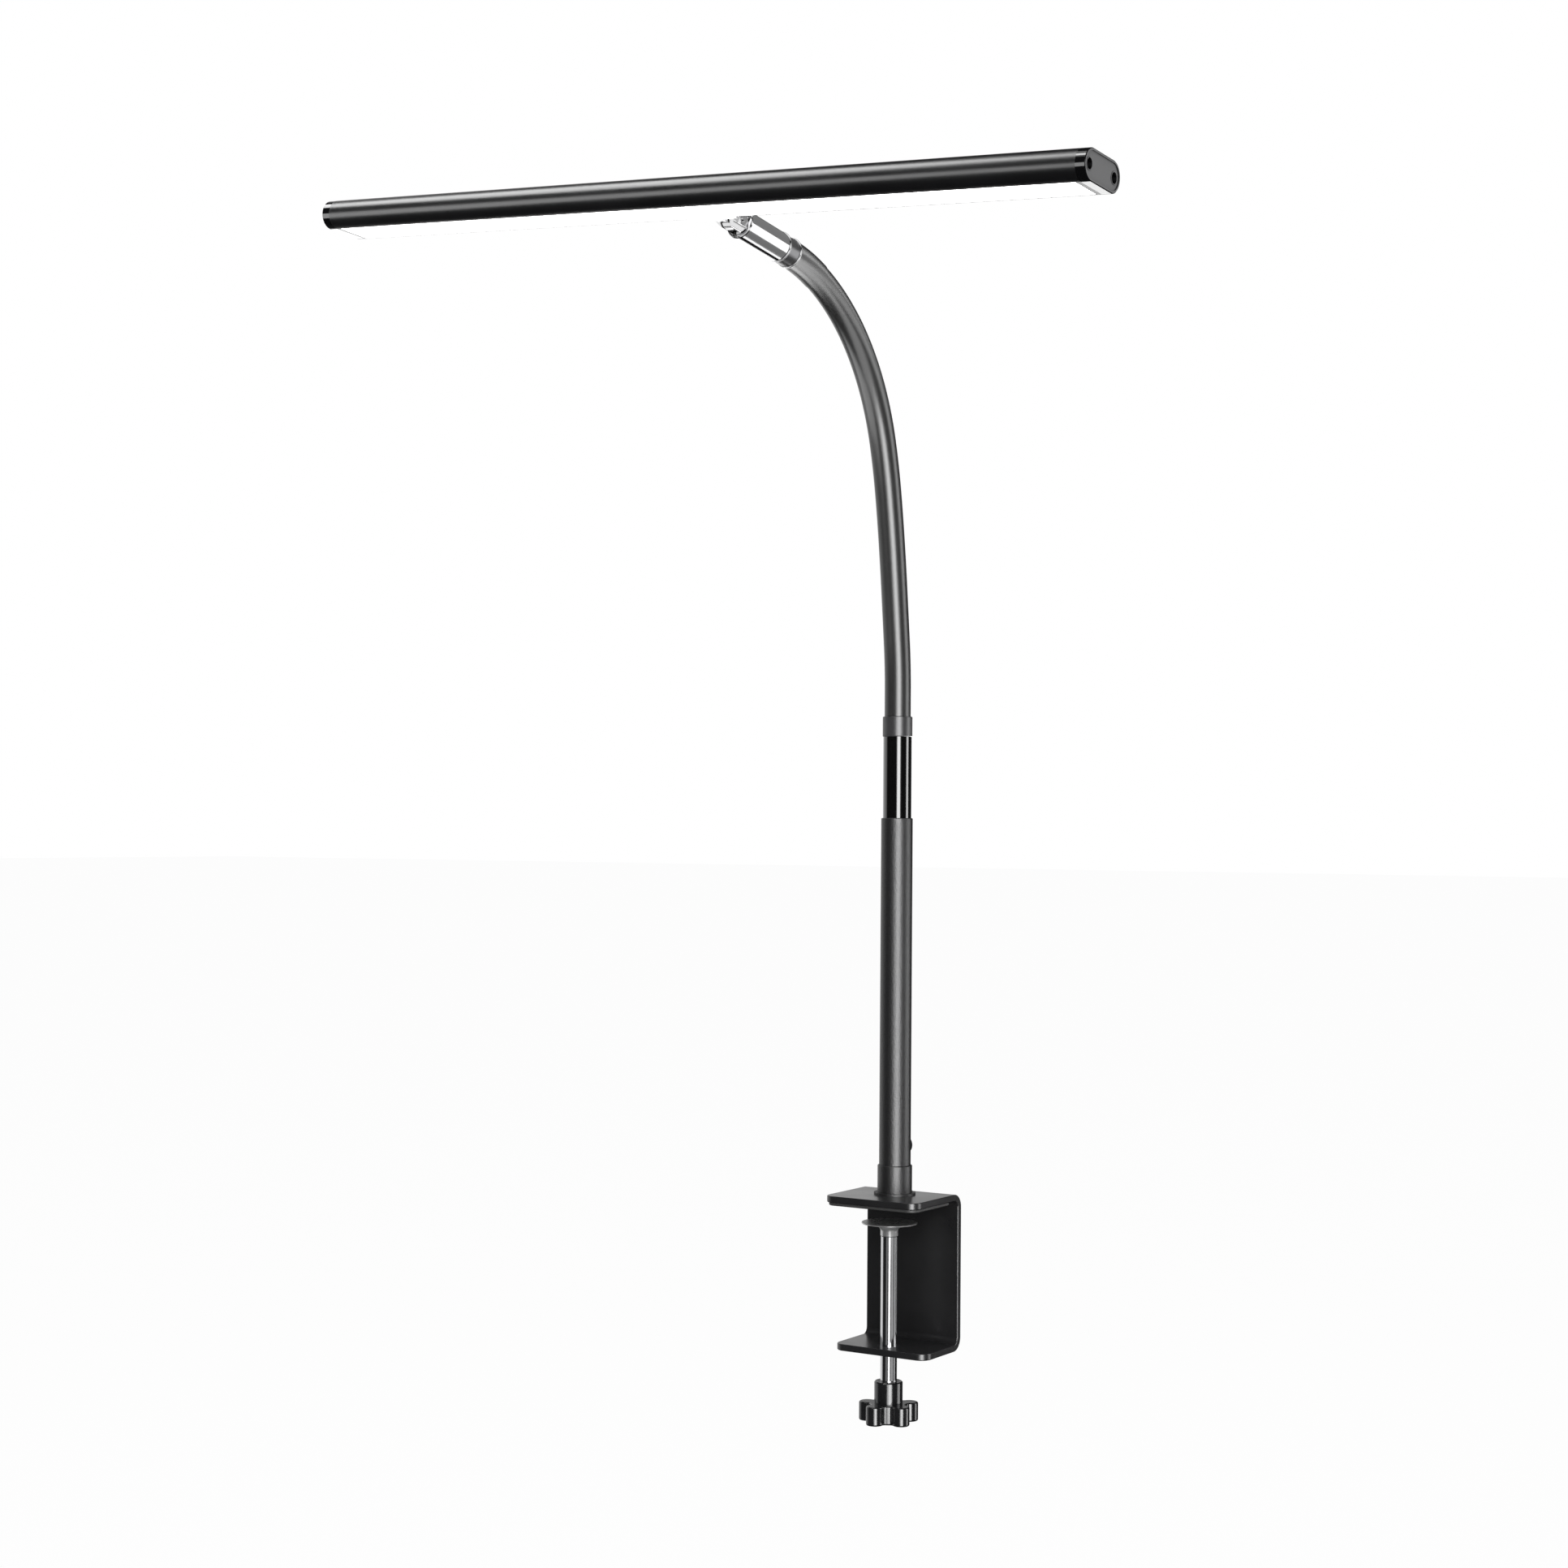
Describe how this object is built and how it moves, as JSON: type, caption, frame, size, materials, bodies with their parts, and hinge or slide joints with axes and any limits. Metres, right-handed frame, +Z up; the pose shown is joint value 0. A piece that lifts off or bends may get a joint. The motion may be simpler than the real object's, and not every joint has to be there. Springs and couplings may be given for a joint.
{
  "type": "piano lamp",
  "caption": "Clamp-on piano lamp: C clamp with star knob, round pole, sliding stem, gooseneck and a tilting, swivelling light bar with a full-width diffuser.",
  "frame": {"origin": "on the pole's axis in the plane of the desk top, at the lower face of the clamp's rubber pad", "axes": "+X along the light bar, +Y away from the player towards the clamp's spine, +Z up along the pole"},
  "size_m": [0.4899, 0.2731, 0.7152],
  "materials": {
    "clamp_steel": "smooth black powder coat",
    "powder_coat": "fine-textured black powder coat",
    "black_gloss_metal": "gloss black enamel",
    "black_satin_metal": "satin black enamel",
    "head_aluminium": "satin black anodised extrusion",
    "cap_gloss": "gloss black moulding",
    "zinc_steel": "zinc plated",
    "chrome": "polished",
    "pad_rubber": "matt",
    "neck_rubber": "smooth satin sleeve",
    "black_plastic": "fine moulded grain",
    "bush_plastic": "natural",
    "board_white": "white solder mask",
    "board_green": "green solder mask",
    "led_yellow": "phosphor",
    "wire_red": "insulation",
    "diffuser_white": "opal, satin"
  },
  "bodies": {
    "stand": {"clamp_bracket": "clamp_steel", "desk_pad": "pad_rubber", "thread_bush": "zinc_steel", "foot_ring": "clamp_steel", "base_collar": "black_gloss_metal", "pole_tube": "powder_coat", "pole_plug": "zinc_steel", "pole_screw": "zinc_steel", "power_jack": "black_plastic", "jack_pin": "zinc_steel"},
    "pressure_pad": {"pressure_cup": "chrome"},
    "clamp_screw": {"clamp_rod": "chrome", "star_knob": "black_plastic", "knob_insert": "zinc_steel"},
    "stem_slider": {"stem_bush": "bush_plastic"},
    "stem": {"stem_tube": "black_gloss_metal", "neck_collar": "black_satin_metal", "neck_sleeve_0": "neck_rubber", "neck_core_0": "zinc_steel"},
    "neck_link_1": {"neck_sleeve_1": "neck_rubber", "neck_core_1": "zinc_steel"},
    "neck_link_2": {"neck_sleeve_2": "neck_rubber", "neck_core_2": "zinc_steel"},
    "neck_link_3": {"neck_sleeve_3": "neck_rubber", "neck_core_3": "zinc_steel"},
    "neck_link_4": {"neck_sleeve_4": "neck_rubber", "neck_core_4": "zinc_steel"},
    "neck_link_5": {"neck_sleeve_5": "neck_rubber", "neck_core_5": "zinc_steel"},
    "neck_link_6": {"neck_sleeve_6": "neck_rubber", "neck_core_6": "zinc_steel"},
    "neck_link_7": {"neck_sleeve_7": "neck_rubber", "neck_core_7": "zinc_steel"},
    "neck_link_8": {"neck_sleeve_8": "neck_rubber", "neck_core_8": "zinc_steel"},
    "neck_link_9": {"neck_sleeve_9": "neck_rubber", "neck_core_9": "zinc_steel"},
    "neck_end": {"neck_end_sleeve": "neck_rubber", "ferrule_band": "black_gloss_metal", "swivel_spindle": "zinc_steel", "swivel_nut": "zinc_steel"},
    "head_joint": {"joint_cylinder": "black_gloss_metal", "swivel_washer": "bush_plastic", "joint_fork": "black_gloss_metal", "pivot_screw": "zinc_steel", "pivot_nut": "zinc_steel", "pivot_washers": "bush_plastic"},
    "head": {"head_saddle": "black_satin_metal", "saddle_screws": "zinc_steel", "head_housing": "head_aluminium", "end_cap_left": "cap_gloss", "end_cap_right": "cap_gloss", "cap_screws": "zinc_steel", "led_board": "board_white", "led_chips": "led_yellow", "driver_board": "board_green", "driver_parts": "black_plastic", "board_wires": "wire_red", "diffuser": "diffuser_white"}
  },
  "joints": [
    {"name": "clamp_travel", "type": "slide", "parent": "stand", "child": "pressure_pad", "axis": [0, 0, 1], "range_m": [-0.062, 0.0102]},
    {"name": "clamp_screw_turn", "type": "hinge", "parent": "pressure_pad", "child": "clamp_screw", "pos_m": [0, -0.006, 0], "axis": [0, 0, 1], "range_deg": [-14885, 2453]},
    {"name": "stem_height", "type": "slide", "parent": "stand", "child": "stem_slider", "axis": [0, 0, 1], "range_m": [-0.045, 0.08]},
    {"name": "stem_swivel", "type": "hinge", "parent": "stem_slider", "child": "stem", "pos_m": [0, 0, 0.1106], "axis": [0, 0, 1], "range_deg": [-170, 170]},
    {"name": "neck_bend_1", "type": "hinge", "parent": "stem", "child": "neck_link_1", "pos_m": [0, 0, 0.3227], "axis": [1, 0, 0], "range_deg": [-5, 6.25]},
    {"name": "neck_bend_2", "type": "hinge", "parent": "neck_link_1", "child": "neck_link_2", "pos_m": [0, -0.00314, 0.35254], "axis": [1, 0, 0], "range_deg": [-5.01, 6.26]},
    {"name": "neck_bend_3", "type": "hinge", "parent": "neck_link_2", "child": "neck_link_3", "pos_m": [0, -0.00638, 0.38236], "axis": [1, 0, 0], "range_deg": [-5.01, 6.26]},
    {"name": "neck_bend_4", "type": "hinge", "parent": "neck_link_3", "child": "neck_link_4", "pos_m": [0, -0.01039, 0.41209], "axis": [1, 0, 0], "range_deg": [-5.01, 6.26]},
    {"name": "neck_bend_5", "type": "hinge", "parent": "neck_link_4", "child": "neck_link_5", "pos_m": [0, -0.01566, 0.44162], "axis": [1, 0, 0], "range_deg": [-6.01, 2.66]},
    {"name": "neck_bend_6", "type": "hinge", "parent": "neck_link_5", "child": "neck_link_6", "pos_m": [0, -0.02398, 0.47045], "axis": [1, 0, 0], "range_deg": [-12.41, 5.48]},
    {"name": "neck_bend_7", "type": "hinge", "parent": "neck_link_6", "child": "neck_link_7", "pos_m": [0, -0.03829, 0.49681], "axis": [1, 0, 0], "range_deg": [-13.41, 5.92]},
    {"name": "neck_bend_8", "type": "hinge", "parent": "neck_link_7", "child": "neck_link_8", "pos_m": [0, -0.05833, 0.51914], "axis": [1, 0, 0], "range_deg": [-13.6, 6]},
    {"name": "neck_bend_9", "type": "hinge", "parent": "neck_link_8", "child": "neck_link_9", "pos_m": [0, -0.08305, 0.53613], "axis": [1, 0, 0], "range_deg": [-13.31, 5.88]},
    {"name": "neck_bend_10", "type": "hinge", "parent": "neck_link_9", "child": "neck_end", "pos_m": [0, -0.11102, 0.54698], "axis": [1, 0, 0], "range_deg": [-13.41, 5.92]},
    {"name": "head_swivel", "type": "hinge", "parent": "neck_end", "child": "head_joint", "pos_m": [0, -0.13767, 0.55063], "axis": [0, -0.9907, 0.1357], "range_deg": [-60, 60]},
    {"name": "head_tilt", "type": "hinge", "parent": "head_joint", "child": "head", "pos_m": [0, -0.18394, 0.55697], "axis": [0.9973, -0.0101, -0.0734], "range_deg": [-80, 70]}
  ],
  "couplings": [
    {"joint": "neck_bend_2", "follows": "neck_bend_1", "ratio": 1},
    {"joint": "neck_bend_3", "follows": "neck_bend_1", "ratio": 1},
    {"joint": "neck_bend_4", "follows": "neck_bend_1", "ratio": 1},
    {"joint": "neck_bend_5", "follows": "neck_bend_8", "ratio": 0.4412},
    {"joint": "neck_bend_6", "follows": "neck_bend_8", "ratio": 0.9118},
    {"joint": "neck_bend_7", "follows": "neck_bend_8", "ratio": 0.9853},
    {"joint": "neck_bend_9", "follows": "neck_bend_8", "ratio": 0.9779},
    {"joint": "neck_bend_10", "follows": "neck_bend_8", "ratio": 0.9853},
    {"joint": "clamp_screw_turn", "follows": "clamp_travel", "rad_per_m": 4188.8}
  ]
}
